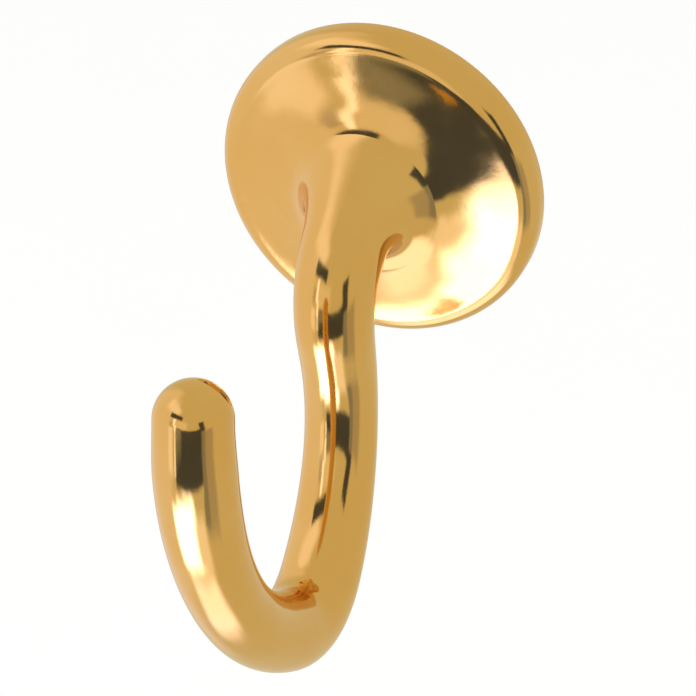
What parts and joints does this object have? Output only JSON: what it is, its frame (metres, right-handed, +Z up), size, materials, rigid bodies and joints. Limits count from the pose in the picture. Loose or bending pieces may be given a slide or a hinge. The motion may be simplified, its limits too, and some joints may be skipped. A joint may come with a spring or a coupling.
{
  "type": "coat hook",
  "caption": "One-piece polished brass coat hook: a round trumpet rose with a concealed tapped fixing, a short neck, a shank and an open U-bend with a round tip.",
  "frame": {"origin": "centre of the rose's flat back face, where the fixing hole opens", "axes": "+Y into the wall, along the fixing hole and out of its mouth; +Z up the wall; +X to the right as seen by someone facing the wall"},
  "size_m": [0.03, 0.0454, 0.0488],
  "materials": {
    "polished_brass": "mirror polished"
  },
  "bodies": {
    "root": {"hook": "polished_brass"}
  },
  "joints": []
}
